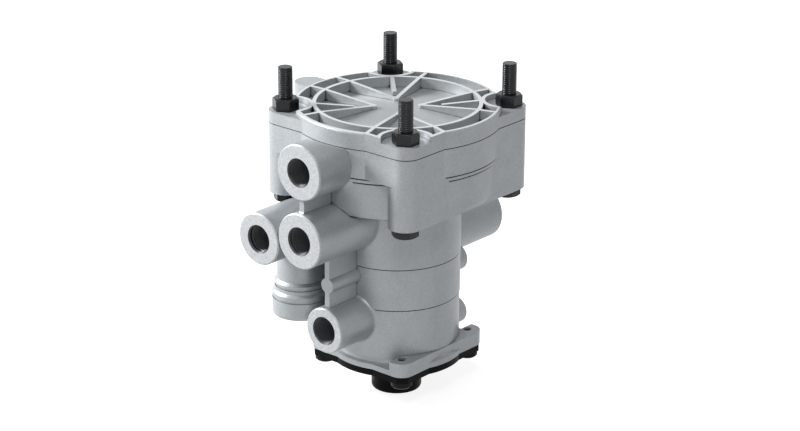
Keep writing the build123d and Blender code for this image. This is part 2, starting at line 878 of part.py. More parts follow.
with BuildPart() as cover_nut:
    with BuildSketch(Plane.XY.offset(seat_z)):
        RegularPolygon(hex_corner_r, 6, rotation=hex_turn)
    extrude(amount=nut_height)
    nut_form = [
        (0, 0),
        (hex_corner_r - 0.5 * hex_chamfer, 0),
        (hex_corner_r, -0.5 * hex_chamfer),
        (hex_corner_r, hex_chamfer - nut_height),
        (hex_corner_r - 1.5 * hex_chamfer, -nut_height),
        (0, -nut_height),
    ]
    add(turned(nut_form), mode=Mode.INTERSECT)
    with BuildSketch(Plane.XY.offset(seat_z)):
        Circle(bolt_core_r + thread_gap)
    extrude(amount=nut_height, mode=Mode.SUBTRACT)
with BuildPart() as cover_nuts:
    with GridLocations(bolt_pitch, bolt_pitch, 2, 2):
        add(cover_nut.part)
save(cover_nuts.part, "cover_nuts")


# Static seals of the body
cover_seal_outer = cover_seal_r + seal_static - seal_gap
save(seal_ring(cover_seal_r + seal_gap, cover_seal_outer, cover_depth, seal_static), "cover_seal")
stem_seal_outer = stem_r + seal_small - seal_gap
save(seal_ring(stem_r + running_gap, stem_seal_outer, stem_groove, small_groove), "stem_seal")


# Control piston: a wide disc with a skirt, a stop on top and the stem that pushes below
with BuildPart() as control_piston:
    add(
        turned(
            [
                (0, stop_drop + stop_gap),
                (head_piston_hub_r, stop_drop + stop_gap),
                (head_piston_hub_r, head_piston_top),
                (head_piston_r, head_piston_top),
                (head_piston_r, head_piston_bottom),
                (head_piston_r - head_piston_rim, head_piston_bottom),
                (head_piston_r - head_piston_rim, head_piston_under),
                (stem_r, head_piston_under),
                (stem_r, push_drop),
                (0, push_drop),
            ]
        )
    )
    with BuildSketch(Plane.XY.offset(below(head_piston_bottom - 2))):
        with PolarLocations(0, head_rib_count):
            with Locations(((head_spring_r + head_piston_r) / 2, 0)):
                Rectangle(head_piston_r - head_spring_r - 6, head_rib_width)
    extrude(amount=head_piston_height - head_piston_web - 2)
    head_ring = groove(head_piston_r - seal_large, head_bore_r, head_groove, large_groove)
    add(head_ring, mode=Mode.SUBTRACT)
save(control_piston.part, "control_piston")
head_seal_inner = head_piston_r - seal_large + seal_gap
save(seal_ring(head_seal_inner, head_piston_r, head_groove, large_groove), "control_piston_seal")
control_spring = coil_spring(
    head_spring_r, head_spring_wire, head_spring_turns, head_piston_under, head_bore_bottom
)
save(control_spring, "control_spring")


# Relay piston: a smaller disc whose hollow stem closes the exhaust on the valve disc
with BuildPart() as relay_piston:
    add(
        turned(
            [
                (0, relay_head),
                (relay_hub_r, relay_head),
                (relay_hub_r, relay_top),
                (relay_r, relay_top),
                (relay_r, relay_bottom),
                (relay_r - relay_rim, relay_bottom),
                (relay_r - relay_rim, relay_under),
                (relay_tube_r, relay_under),
                (relay_tube_r, relay_tip),
                (relay_tube_bore_r, relay_tip),
                (relay_tube_bore_r, relay_bottom),
                (0, relay_bottom),
            ]
        )
    )
    relay_ring = groove(relay_r - seal_small, main_bore_r, relay_groove, small_groove)
    add(relay_ring, mode=Mode.SUBTRACT)
save(relay_piston.part, "relay_piston")
relay_seal_inner = relay_r - seal_small + seal_gap
save(seal_ring(relay_seal_inner, relay_r, relay_groove, small_groove), "relay_piston_seal")
relay_spring = coil_spring(
    relay_spring_r, relay_spring_wire, relay_spring_turns, relay_under, seat_top
)
save(relay_spring, "relay_spring")


# Inlet seat: a ring held against the shoulder of the lower bore
with BuildPart() as valve_seat_insert:
    add(
        turned(
            [
                (seat_bore_r, seat_top),
                (insert_r, seat_top),
                (insert_r, seat_face),
                (seat_lip_r + 1, seat_face),
                (seat_lip_r, seat_bottom),
                (seat_bore_r, seat_bottom),
            ]
        )
    )
    insert_ring = groove(insert_r - seal_small, lower_bore_r, insert_groove, small_groove)
    add(insert_ring, mode=Mode.SUBTRACT)
save(valve_seat_insert.part, "valve_seat_insert")
insert_seal_inner = insert_r - seal_small + seal_gap
save(seal_ring(insert_seal_inner, insert_r, insert_groove, small_groove), "seat_insert_seal")


# Inlet valve: a hollow tube with a plate that carries the rubber disc
valve_tube = turned(
    [
        (valve_tube_bore_r, valve_plate_top),
        (valve_disc_r, valve_plate_top),
        (valve_disc_r, valve_plate_top - valve_rim_height),
        (valve_plate_r, valve_plate_top - valve_rim_height),
        (valve_plate_r, valve_plate_bottom),
        (valve_tube_r, valve_plate_bottom),
        (valve_tube_r, valve_tube_bottom),
        (valve_tube_bore_r, valve_tube_bottom),
    ]
)
save(valve_tube, "valve_tube")
valve_disc = turned(
    [
        (valve_tube_bore_r, seat_bottom),
        (valve_disc_r - seal_gap, seat_bottom),
        (valve_disc_r - seal_gap, valve_plate_top),
        (valve_tube_bore_r, valve_plate_top),
    ]
)
save(valve_disc, "valve_disc")
valve_spring = coil_spring(
    valve_spring_r, valve_spring_wire, valve_spring_turns, valve_plate_bottom, guide_well_floor
)
save(valve_spring, "valve_spring")


# Valve guide: holds the tube and the spring, and props the inlet seat with four posts
with BuildPart() as valve_guide:
    add(
        turned(
            [
                (tube_guide_r, guide_top),
                (guide_hub_r, guide_top),
                (guide_hub_r, guide_well_floor),
                (guide_well_r, guide_well_floor),
                (guide_well_r, guide_top),
                (insert_r, guide_top),
                (insert_r, flange_bottom),
                (guide_well_r, flange_bottom),
                (guide_well_r, guide_under),
                (tube_guide_r, guide_under),
            ]
        )
    )
    with BuildSketch(Plane.XY.offset(below(guide_top))):
        with PolarLocations(insert_r - guide_post_depth / 2, guide_post_count, guide_post_start):
            Rectangle(2 * guide_post_depth, guide_post_width)
        Circle(insert_r, mode=Mode.INTERSECT)
        Circle(insert_r - guide_post_depth, mode=Mode.SUBTRACT)
    extrude(amount=guide_top - seat_face)
    guide_ring = groove(insert_r - seal_small, lower_bore_r, guide_groove, small_groove)
    add(guide_ring, mode=Mode.SUBTRACT)
    tube_ring = groove(valve_tube_r, tube_guide_r + seal_small, tube_groove, small_groove)
    add(tube_ring, mode=Mode.SUBTRACT)
save(valve_guide.part, "valve_guide")
save(seal_ring(insert_seal_inner, insert_r, guide_groove, small_groove), "guide_outer_seal")
tube_seal_outer = tube_guide_r + seal_small - seal_gap
save(seal_ring(tube_guide_r, tube_seal_outer, tube_groove, small_groove), "guide_inner_seal")


# Bottom cover: a plate under the flange
with BuildPart() as bottom_cover:
    with BuildSketch(Plane.XY.offset(below(flange_bottom))):
        plate_square = Rectangle(plate_side, plate_side)
        chamfer(plate_square.vertices(), bottom_corner_cut)
        Circle(flange_r - bottom_plate_inset)
        Circle(bottom_hole_r, mode=Mode.SUBTRACT)
        with GridLocations(screw_pitch, screw_pitch, 2, 2):
            Circle(screw_hole_r, mode=Mode.SUBTRACT)
    extrude(amount=-bottom_plate)
save(bottom_cover.part, "bottom_cover")

with BuildPart() as bottom_screw:
    with BuildSketch(Plane.XY.offset(below(plate_bottom))):
        Circle(screw_r)
    extrude(amount=plate_bottom - pad_top - screw_tip_gap)
    add(
        turned(
            [
                (0, plate_bottom),
                (screw_head_r, plate_bottom),
                (screw_head_r, plate_bottom + screw_head_height - hex_chamfer),
                (screw_head_r - hex_chamfer, plate_bottom + screw_head_height),
                (0, plate_bottom + screw_head_height),
            ]
        )
    )
    with BuildSketch(Plane.XY.offset(below(plate_bottom + screw_head_height))):
        RegularPolygon(screw_socket_r, 6)
    extrude(amount=screw_socket_depth, mode=Mode.SUBTRACT)
with BuildPart() as bottom_screws:
    with GridLocations(screw_pitch, screw_pitch, 2, 2):
        add(bottom_screw.part)
save(bottom_screws.part, "bottom_screws")


# Exhaust stub: a short pipe clipped into the bottom cover, with a spider that holds the flap
with BuildPart() as exhaust_stub:
    add(
        turned(
            [
                (neck_r - stub_neck_wall, flange_bottom - stub_lip_height),
                (neck_r, flange_bottom - stub_lip_height),
                (bottom_hole_r + stub_lip, flange_bottom),
                (neck_r, flange_bottom),
                (neck_r, plate_bottom),
                (stub_r, plate_bottom),
                (stub_r, stub_bottom - stub_round),
                (stub_r - 0.3 * stub_round, stub_bottom - 0.3 * stub_round),
                (stub_r - stub_round, stub_bottom),
                (stub_inner_r, stub_bottom),
                (stub_inner_r, plate_bottom + stub_wall),
                (neck_r - stub_neck_wall, plate_bottom + stub_wall),
            ]
        )
    )
    with BuildSketch(Plane.XY.offset(below(spider_drop))):
        with PolarLocations(0, spider_arms):
            with Locations((stub_inner_r / 2, 0)):
                Rectangle(stub_inner_r + 1, spider_arm_width)
        Circle(spider_hub_r)
        Circle(flap_stem_r + seal_gap, mode=Mode.SUBTRACT)
    extrude(amount=-spider_height)
save(exhaust_stub.part, "exhaust_stub")

exhaust_flap = turned(
    [
        (0, spider_drop - flap_button_height),
        (flap_button_r, spider_drop - flap_button_height),
        (flap_button_r, spider_drop),
        (flap_stem_r, spider_drop),
        (flap_stem_r, spider_bottom),
        (flap_r, spider_bottom),
        (flap_r, spider_bottom + flap_height),
        (0, spider_bottom + flap_height),
    ]
)
save(exhaust_flap, "exhaust_flap")


# Throttle piston: a cup with a small orifice, and its spring
with BuildPart() as throttle_piston:
    throttle_form = [
        (side_piston_orifice_r, side_piston_top),
        (side_piston_r, side_piston_top),
        (side_piston_r, side_piston_bottom),
        (side_piston_bore_r, side_piston_bottom),
        (side_piston_bore_r, side_piston_top + side_piston_crown),
        (side_piston_orifice_r, side_piston_top + side_piston_crown),
    ]
    add(turned(throttle_form, side_x, side_y))
    side_groove_r = side_piston_r - seal_small
    side_ring = groove(side_groove_r, side_bore_r, side_groove, small_groove, side_x, side_y)
    add(side_ring, mode=Mode.SUBTRACT)
save(throttle_piston.part, "throttle_piston")
side_seal_inner = side_groove_r + seal_gap
throttle_piston_seal = seal_ring(
    side_seal_inner, side_piston_r, side_groove, small_groove, side_x, side_y
)
save(throttle_piston_seal, "throttle_piston_seal")
throttle_spring = coil_spring(
    side_spring_r,
    side_spring_wire,
    side_spring_turns,
    side_piston_top + side_piston_crown,
    side_cap_top,
    side_x,
    side_y,
)
save(throttle_spring, "throttle_spring")


# Throttle cap: closes the side cylinder, centres the spring and rests on a snap ring
with BuildPart() as throttle_cap:
    cap_form = [
        (0, side_cap_top - side_cap_pin),
        (side_cap_pin_r, side_cap_top - side_cap_pin),
        (side_cap_pin_r, side_cap_top),
        (side_piston_r, side_cap_top),
        (side_piston_r, side_cap_bottom),
        (side_cap_recess_r, side_cap_bottom),
        (side_cap_recess_r, side_cap_bottom - side_cap_recess),
        (0, side_cap_bottom - side_cap_recess),
    ]
    add(turned(cap_form, side_x, side_y))
    cap_ring = groove(side_groove_r, side_bore_r, side_cap_groove, small_groove, side_x, side_y)
    add(cap_ring, mode=Mode.SUBTRACT)
save(throttle_cap.part, "throttle_cap")
throttle_cap_seal = seal_ring(
    side_seal_inner, side_piston_r, side_cap_groove, small_groove, side_x, side_y
)
save(throttle_cap_seal, "throttle_cap_seal")

clip_outer_r = clip_groove_r - side_clip_gap
with BuildPart() as snap_ring:
    with BuildSketch(Plane.XY.offset(below(clip_drop))):
        with Locations((side_x, side_y)):
            Circle(clip_outer_r)
            Circle(clip_outer_r - side_clip_width, mode=Mode.SUBTRACT)
        with Locations((side_x, side_y - side_bore_r)):
            Rectangle(side_clip_slot, 2 * side_clip_width + 2, mode=Mode.SUBTRACT)
    extrude(amount=-side_clip_height)
save(snap_ring.part, "snap_ring")
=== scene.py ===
"""Looks of the trailer control valve: castings, fasteners, seals, light and camera.

Sizes are in metres, in the frame of the CAD model: z = 0 lies on top of the four nuts.
"""

import json
import logging
import math
from dataclasses import dataclass, field
from enum import Enum, IntEnum

import bpy
from mathutils import Matrix, Vector


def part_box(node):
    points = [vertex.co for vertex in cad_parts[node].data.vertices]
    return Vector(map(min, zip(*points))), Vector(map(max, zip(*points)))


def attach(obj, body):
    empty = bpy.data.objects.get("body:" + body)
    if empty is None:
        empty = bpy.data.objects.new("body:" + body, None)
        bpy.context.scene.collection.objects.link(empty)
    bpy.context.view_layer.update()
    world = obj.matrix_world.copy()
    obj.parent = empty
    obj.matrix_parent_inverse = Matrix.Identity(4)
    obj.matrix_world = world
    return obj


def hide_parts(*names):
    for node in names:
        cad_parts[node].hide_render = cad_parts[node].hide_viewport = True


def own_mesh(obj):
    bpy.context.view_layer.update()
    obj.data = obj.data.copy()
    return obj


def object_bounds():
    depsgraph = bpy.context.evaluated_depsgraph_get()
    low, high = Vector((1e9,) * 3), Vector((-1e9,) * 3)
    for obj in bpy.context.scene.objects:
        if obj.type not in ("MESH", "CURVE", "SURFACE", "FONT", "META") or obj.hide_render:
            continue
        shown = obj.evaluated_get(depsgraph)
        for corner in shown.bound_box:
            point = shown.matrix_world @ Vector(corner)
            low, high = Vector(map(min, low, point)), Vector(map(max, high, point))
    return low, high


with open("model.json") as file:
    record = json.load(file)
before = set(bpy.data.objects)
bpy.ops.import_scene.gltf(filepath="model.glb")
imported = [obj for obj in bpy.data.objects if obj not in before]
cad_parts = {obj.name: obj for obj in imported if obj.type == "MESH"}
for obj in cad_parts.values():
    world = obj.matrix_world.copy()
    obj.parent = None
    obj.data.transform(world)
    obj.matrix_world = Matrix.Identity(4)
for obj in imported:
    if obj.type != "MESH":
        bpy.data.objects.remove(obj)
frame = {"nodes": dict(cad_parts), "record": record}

log = logging.getLogger("valve")
CAD_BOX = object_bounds()
MM = 0.001
SAME_POINT = 0.004 * MM  # corners of a CAD mesh that are nearer than this are one
FLAT_DEG = 0.6  # neighbouring triangles that turn by less than this are one face
TOUCH = 0.01 * MM
WAVE_UNIT = 0.05  # a wave texture of scale 1 turns by one radian in this length
THREAD_STEPS = 32
SMOOTH_DEG = 30.0
ALONG_RADIUS = 0.995  # least cosine between a round wall's normal and the radius


class Finish(Enum):
    """The record's material slots."""

    CAST = "cast_aluminium"
    MACHINED = "machined_aluminium"
    BRASS = "brass"
    BLACK_STEEL = "black_steel"
    SPRING_STEEL = "spring_steel"
    BLACK_PLASTIC = "black_plastic"
    GREY_PLASTIC = "grey_plastic"
    RUBBER = "rubber"


class CastSlot(IntEnum):
    """The material slots of both castings. The body's port faces and bores come after them."""

    CAST = 0
    # painted highlight on the rounded outer edges and the tops of the ribs and rim
    PAINTED_HIGHLIGHT = 1
    # painted shade on the rounded inner edges
    PAINTED_CREASE_SHADE = 2
    # painted shade on the floors of the fine grooves and in the joint
    LINE = 3


def linear(colour: str) -> tuple[float, float, float, float]:
    """Turns an sRGB hex colour to linear values.

    Args:
        colour: A colour such as "#8a8f92".

    Returns:
        Red, green, blue and alpha.
    """
    channels = [int(colour[i:i + 2], 16) / 255 for i in (1, 3, 5)]
    values = [c / 12.92 if c <= 0.04045 else ((c + 0.055) / 1.055) ** 2.4 for c in channels]
    return (values[0], values[1], values[2], 1.0)


def add_node(
    tree: bpy.types.NodeTree,
    kind: str,
    settings: dict | None = None,
    links: dict | None = None,
) -> bpy.types.Node:
    """Adds a node with its settings and the links that come into it.

    Args:
        tree: The node tree.
        kind: The node's type.
        settings: Values by the name of a property, or by the name or number of an input.
        links: Output sockets by the name or number of the input that they go to.

    Returns:
        The new node.
    """
    node = tree.nodes.new(kind)
    for key, value in (settings or {}).items():
        if isinstance(key, str) and hasattr(node, key):
            setattr(node, key, value)
        else:
            node.inputs[key].default_value = value
    for key, socket in (links or {}).items():
        tree.links.new(socket, node.inputs[key])
    return node


def new_material(name: str) -> tuple[bpy.types.Material, bpy.types.NodeTree, bpy.types.Node]:
    """Makes an empty material with its shader and output.

    Args:
        name: The material's name.

    Returns:
        The material, its node tree and its Principled shader.
    """
    material = bpy.data.materials.new(name)
    material.use_nodes = True
    tree = material.node_tree
    tree.nodes.clear()
    shader = add_node(tree, "ShaderNodeBsdfPrincipled")
    add_node(tree, "ShaderNodeOutputMaterial", links={"Surface": shader.outputs["BSDF"]})
    return material, tree, shader


def noise(
    tree: bpy.types.NodeTree, size_mm: float, detail: float = 2.0, roughness: float = 0.5
) -> bpy.types.NodeSocket:
    """A noise pattern in the object's own coordinates.

    Args:
        tree: The node tree.
        size_mm: Size of one blob in millimetres.
        detail: Number of finer layers.
        roughness: Strength of the finer layers.

    Returns:
        The pattern's value, about 0 to 1.
    """
    place = add_node(tree, "ShaderNodeTexCoord")
    settings = {"Scale": 1 / (size_mm * MM), "Detail": detail, "Roughness": roughness}
    links = {"Vector": place.outputs["Object"]}
    return add_node(tree, "ShaderNodeTexNoise", settings, links).outputs[0]


def spread(
    tree: bpy.types.NodeTree, value: bpy.types.NodeSocket, low: float, high: float
) -> bpy.types.NodeSocket:
    """Spreads the middle of a noise pattern over a range.

    Args:
        tree: The node tree.
        value: The noise.
        low: Result where the noise is low.
        high: Result where the noise is high.

    Returns:
        The mapped value.
    """
    settings = {"From Min": 0.3, "From Max": 0.7, "To Min": low, "To Max": high}
    return add_node(tree, "ShaderNodeMapRange", settings, {"Value": value}).outputs[0]


def mix_colour(
    tree: bpy.types.NodeTree, factor: bpy.types.NodeSocket, low: str, high: str
) -> bpy.types.NodeSocket:
    """Blends two colours by a pattern.

    Args:
        tree: The node tree.
        factor: The pattern.
        low: Hex colour at 0.
        high: Hex colour at 1.

    Returns:
        The blended colour.
    """
    settings = {"data_type": "RGBA", 6: linear(low), 7: linear(high)}
    return add_node(tree, "ShaderNodeMix", settings, {0: factor}).outputs[2]


@dataclass(frozen=True)
class CastAluminium:
    """Die-cast aluminium, blasted with fine beads.

    To the eye it is a matt silver grey with a fine even grain, soft highlights on the round forms
    and faint darker clouds where the blast was uneven. Painted shade darkens the corners to a dull
    grey and the sharp inner edges to near black.
    """

    name: str = "cast_aluminium_blasted"
    light: str = "#b6babd"
    dark: str = "#9da1a4"
    metallic: float = 0.35
    roughness: tuple[float, float] = (0.36, 0.50)
    cloud_mm: float = 9.0
    grain_mm: float = 0.8  # drawn coarser than the real blast grain, to show in the render
    grain_depth_mm: float = 0.08
    grain_strength: float = 0.6
    speckle: float = 0.75  # share of the grain in the colour, beside the clouds
    # painted shade: the corners darken to this grey
    corner: str = "#757a7d"
    corner_mm: float = 4.0
    corner_open: tuple[float, float] = (0.05, 0.52)
    crease_shade: str = "#2c2f31"  # painted shade in the sharp inner edges
    crease_mm: float = 1.8
    crease_open: tuple[float, float] = (0.32, 0.7)
    rays: int = 8

    def painted_shade_factor(
        self, tree: bpy.types.NodeTree, size_mm: float, low: float, high: float
    ) -> bpy.types.NodeSocket:
        """How open a place is, which sets the painted shade in the corners and creases.

        Args:
            tree: The node tree.
            size_mm: Distance within which walls shield the place.
            low: Open part of the half sphere at which the painted shade is full.
            high: Open part from which on the place is as bright as a free face.

        Returns:
            The value, 0 in the corners and 1 on the free faces.
        """
        settings = {"samples": self.rays, "only_local": True, "Distance": size_mm * MM}
        shield = add_node(tree, "ShaderNodeAmbientOcclusion", settings)
        settings = {"From Min": low, "From Max": high, "To Min": 0.0, "To Max": 1.0}
        return add_node(
            tree, "ShaderNodeMapRange", settings, {"Value": shield.outputs["AO"]}
        ).outputs[0]

    def build(self) -> bpy.types.Material:
        """Returns the material."""
        material, tree, shader = new_material(self.name)
        clouds = spread(tree, noise(tree, self.cloud_mm, 3), 0.0, 1.0)
        grain = noise(tree, self.grain_mm, 2, 0.6)
        speckle = spread(tree, grain, 0.0, 1.0)
        both = add_node(
            tree, "ShaderNodeMix", {0: self.speckle}, {2: clouds, 3: speckle}
        ).outputs[0]
        colour = mix_colour(tree, both, self.dark, self.light)
        # Painted shade: the corners and the sharp inner edges darken where walls shield them
        for shade, size_mm, opening in (
            (self.corner, self.corner_mm, self.corner_open),
            (self.crease_shade, self.crease_mm, self.crease_open),
        ):
            links = {0: self.painted_shade_factor(tree, size_mm, *opening), 7: colour}
            settings = {"data_type": "RGBA", 6: linear(shade)}
            colour = add_node(tree, "ShaderNodeMix", settings, links).outputs[2]
        bump = add_node(
            tree,
            "ShaderNodeBump",
            {"Strength": self.grain_strength, "Distance": self.grain_depth_mm * MM},
            {"Height": grain},
        )
        tree.links.new(colour, shader.inputs["Base Color"])
        tree.links.new(spread(tree, grain, *self.roughness), shader.inputs["Roughness"])
        tree.links.new(bump.outputs[0], shader.inputs["Normal"])
        shader.inputs["Metallic"].default_value = self.metallic
        return material


# Painted highlight on the rounded outer edges and the tops of the ribs and rim of the castings:
# lighter than the casting, with lighter painted shade in its corners
HIGHLIGHT_PAINTED_CASTING = CastAluminium(
    "cast_aluminium_painted_highlight", "#dadde0", "#cdd0d3", roughness=(0.30, 0.42), grain_depth_mm=0.04,
    corner="#a4a8ab", crease_shade="#6a6e71",
)

# Painted shade on the rounded inner edges of the castings: a thin dark grey line
CREASE_SHADE_CASTING = CastAluminium(
    "cast_aluminium_crease_shade", "#54585b", "#484c4e", roughness=(0.5, 0.6), grain_depth_mm=0.04,
)

# Painted shade on the floors of the fine grooves about the wall and in the joint under the cover:
# near black
LINE_SHADE_CASTING = CastAluminium(
    "cast_aluminium_line_shade", "#36393b", "#2c2f30", roughness=(0.5, 0.6), grain_depth_mm=0.04,
)


@dataclass(frozen=True)
class TurnedAluminium:
    """Aluminium turned or faced on a lathe.

    To the eye it is lighter and smoother than the casting, with fine rings about the axis of
    the cut.
    """

    name: str = "machined_aluminium_turned"
    light: str = "#cacdd0"
    dark: str = "#a9adb0"
    metallic: float = 0.3
    roughness: tuple[float, float] = (0.34, 0.46)
    centre: tuple[float, float, float] = (0.0, 0.0, 0.0)
    along: str = "Y"
    ring_mm: float = 0.35  # the feed of the tool, drawn coarser than it is
    ring_depth_mm: float = 0.01
    ring_strength: float = 0.5
    ring_wander: float = 0.6
    stain_mm: float = 1.2

    def build(self) -> bpy.types.Material:
        """Returns the material."""
        material, tree, shader = new_material(self.name)
        place = add_node(tree, "ShaderNodeTexCoord")
        shift = tuple(-value for value in self.centre)
        moved = add_node(
            tree, "ShaderNodeMapping", {"Location": shift}, {"Vector": place.outputs["Object"]}
        )
        rings = add_node(
            tree,
            "ShaderNodeTexWave",
            {
                "wave_type": "RINGS",
                "rings_direction": self.along,
                "Scale": WAVE_UNIT * 2 * math.pi / (self.ring_mm * MM),
                "Distortion": self.ring_wander,
                "Detail": 1.0,
            },
            {"Vector": moved.outputs[0]},
        )
        stains = spread(tree, noise(tree, self.stain_mm, 3, 0.7), 0.0, 1.0)
        bump = add_node(
            tree,
            "ShaderNodeBump",
            {"Strength": self.ring_strength, "Distance": self.ring_depth_mm * MM},
            {"Height": rings.outputs[1]},
        )
        tree.links.new(mix_colour(tree, stains, self.dark, self.light), shader.inputs["Base Color"])
        tree.links.new(spread(tree, stains, *self.roughness), shader.inputs["Roughness"])
        tree.links.new(bump.outputs[0], shader.inputs["Normal"])
        shader.inputs["Metallic"].default_value = self.metallic
        return material


@dataclass(frozen=True)
class PlainFinish:
    """A finish with one colour, faint clouds and a fine grain.

    It serves plated steel, brass, moulded plastic and rubber, each with its own values.
    """

    name: str
    light: str
    dark: str
    metallic: float
    roughness: tuple[float, float]
    cloud_mm: float = 5.0
    grain_mm: float = 0.4
    grain_depth_mm: float = 0.01
    grain_strength: float = 0.5
    gloss: float = 0.5

    def build(self) -> bpy.types.Material:
        """Returns the material."""
        material, tree, shader = new_material(self.name)
        clouds = spread(tree, noise(tree, self.cloud_mm, 3), 0.0, 1.0)
        grain = noise(tree, self.grain_mm, 2)
        bump = add_node(
            tree,
            "ShaderNodeBump",
            {"Strength": self.grain_strength, "Distance": self.grain_depth_mm * MM},
            {"Height": grain},
        )
        tree.links.new(mix_colour(tree, clouds, self.dark, self.light), shader.inputs["Base Color"])
        tree.links.new(spread(tree, clouds, *self.roughness), shader.inputs["Roughness"])
        tree.links.new(bump.outputs[0], shader.inputs["Normal"])
        shader.inputs["Metallic"].default_value = self.metallic
        shader.inputs["Specular IOR Level"].default_value = self.gloss
        return material


# Black zinc on turned steel: near black, satin, with soft grey highlights
BLACK_ZINC = PlainFinish("black_zinc_plated_steel", "#232526", "#191b1c", 0.6, (0.20, 0.30))

# Black oxide on the small screws: deep matt black
BLACK_OXIDE = PlainFinish(
    "black_oxide_steel", "#141516", "#0f1010", 0.3, (0.45, 0.6), gloss=0.15
)

# Drawn spring wire: grey, smooth and slightly oily
SPRING_WIRE = PlainFinish("spring_wire_drawn", "#8d8f91", "#76787a", 1.0, (0.25, 0.35))

# Turned brass: warm yellow metal
TURNED_BRASS = PlainFinish("brass_turned", "#c8a963", "#b8964f", 1.0, (0.25, 0.35))

# Glass-filled polyamide from a spark-eroded mould: black, fine matt grain
MOULDED_NYLON = PlainFinish(
    "glass_filled_nylon_moulded", "#101111", "#0b0c0c", 0.0, (0.30, 0.42), grain_mm=0.3,
    grain_depth_mm=0.02, gloss=0.05,
)

# Moulded acetal: mid grey and slightly glossy
MOULDED_ACETAL = PlainFinish("acetal_moulded", "#8d9092", "#848789", 0.0, (0.35, 0.45))

# Moulded nitrile rubber: soft black without gloss
NITRILE = PlainFinish("nitrile_rubber_moulded", "#1e1e1f", "#171718", 0.0, (0.6, 0.75))

# Painted shade on the walls, threads and mouths of the tapped bores: dark grey aluminium
BORE_SHADE = PlainFinish("aluminium_bore_painted_shade", "#3a3d40", "#2e3133", 0.5, (0.35, 0.5))


def deselect_all() -> None:
    """Leaves edit mode and clears the selection."""
    if bpy.context.object and bpy.context.object.mode != "OBJECT":
        bpy.ops.object.mode_set(mode="OBJECT")
    bpy.ops.object.select_all(action="DESELECT")


def activate(piece: bpy.types.Object) -> None:
    """Selects one object alone and makes it active.

    Args:
        piece: The object.
    """
    deselect_all()
    piece.select_set(True)
    bpy.context.view_layer.objects.active = piece


def join(pieces: list[bpy.types.Object], name: str) -> bpy.types.Object:
    """Joins meshes into one object.

    Args:
        pieces: The meshes, of which the first is kept.
        name: The joined object's name.

    Returns:
        The joined object.
    """
    deselect_all()
    for piece in pieces:
        piece.select_set(True)
    bpy.context.view_layer.objects.active = pieces[0]
    bpy.ops.object.join()
    pieces[0].name = name
    return pieces[0]


def bake_place(piece: bpy.types.Object) -> None:
    """Moves an object's place, turn and scale into its mesh.

    Args:
        piece: The object.
    """
    activate(piece)
    bpy.ops.object.transform_apply(location=True, rotation=True, scale=True)


def dress(piece: bpy.types.Object, *materials: bpy.types.Material) -> None:
    """Gives an object its materials.

    Args:
        piece: The object.
        materials: The materials in the order of their slots.
    """
    piece.data.materials.clear()
    for material in materials:
        piece.data.materials.append(material)


def copy_of(node: str, name: str) -> bpy.types.Object:
    """Copies a CAD node's mesh, with its triangles merged into faces.

    Args:
        node: The CAD node.
        name: The copy's name.

    Returns:
        The copy, at the frame's origin.
    """
    source = frame["nodes"][node]
    piece = bpy.data.objects.new(name, source.data.copy())
    bpy.context.scene.collection.objects.link(piece)
    piece.matrix_world = source.matrix_world.copy()
    bake_place(piece)
    bpy.ops.object.mode_set(mode="EDIT")
    bpy.ops.mesh.select_all(action="SELECT")
    bpy.ops.mesh.remove_doubles(threshold=SAME_POINT)
    bpy.ops.mesh.dissolve_limited(angle_limit=math.radians(FLAT_DEG))
    bpy.ops.object.mode_set(mode="OBJECT")
    return piece


def edit_faces(piece: bpy.types.Object, chosen: list[int]) -> None:
    """Opens a piece in edit mode with some of its faces selected and nothing else.

    Args:
        piece: The object.
        chosen: Numbers of the faces.
    """
    activate(piece)
    mesh = piece.data
    for elements in (mesh.vertices, mesh.edges, mesh.polygons):
        elements.foreach_set("select", [False] * len(elements))
    for index in chosen:
        polygon = mesh.polygons[index]
        polygon.select = True
        for loop in polygon.loop_indices:
            mesh.edges[mesh.loops[loop].edge_index].select = True
            mesh.vertices[mesh.loops[loop].vertex_index].select = True
    bpy.context.tool_settings.mesh_select_mode = (False, False, True)
    bpy.ops.object.mode_set(mode="EDIT")


def close_edit() -> None:
    """Leaves edit mode, with selection by vertices as it was."""
    bpy.ops.object.mode_set(mode="OBJECT")
    bpy.context.tool_settings.mesh_select_mode = (True, False, False)


def settle_order(piece: bpy.types.Object) -> None:
    """Puts a mesh's faces in a fixed order.

    Bisect leaves them in another order at each run, and the bevel's corners follow that order.

    Args:
        piece: The object.
    """
    old = piece.data
    rows = []
    for polygon in old.polygons:
        corners = list(polygon.vertices)
        first = corners.index(min(corners))
        rows.append((corners[first:] + corners[:first], polygon.material_index))
    rows.sort()
    mesh = bpy.data.meshes.new(f"{old.name}_in_order")
    mesh.from_pydata([vertex.co for vertex in old.vertices], [], [corners for corners, _ in rows])
    for material in old.materials:
        mesh.materials.append(material)
    mesh.polygons.foreach_set("material_index", [index for _, index in rows])
    mesh.update()
    piece.data = mesh
    bpy.data.meshes.remove(old)


def even_normals(piece: bpy.types.Object, angle: float = 22.0, weight: int = 80) -> None:
    """Smooths a piece, with normals that follow its wide faces.

    Args:
        piece: The object.
        angle: Edges that turn by more than this many degrees stay sharp.
        weight: How much more the wide faces count than the narrow ones, from 1 to 100.
    """
    activate(piece)
    bpy.ops.object.shade_smooth_by_angle(angle=math.radians(angle))
    weighted = piece.modifiers.new("wide faces first", "WEIGHTED_NORMAL")
    weighted.mode = "FACE_AREA"
    weighted.weight = weight
    weighted.keep_sharp = True
    bpy.ops.object.modifier_apply(modifier=weighted.name)


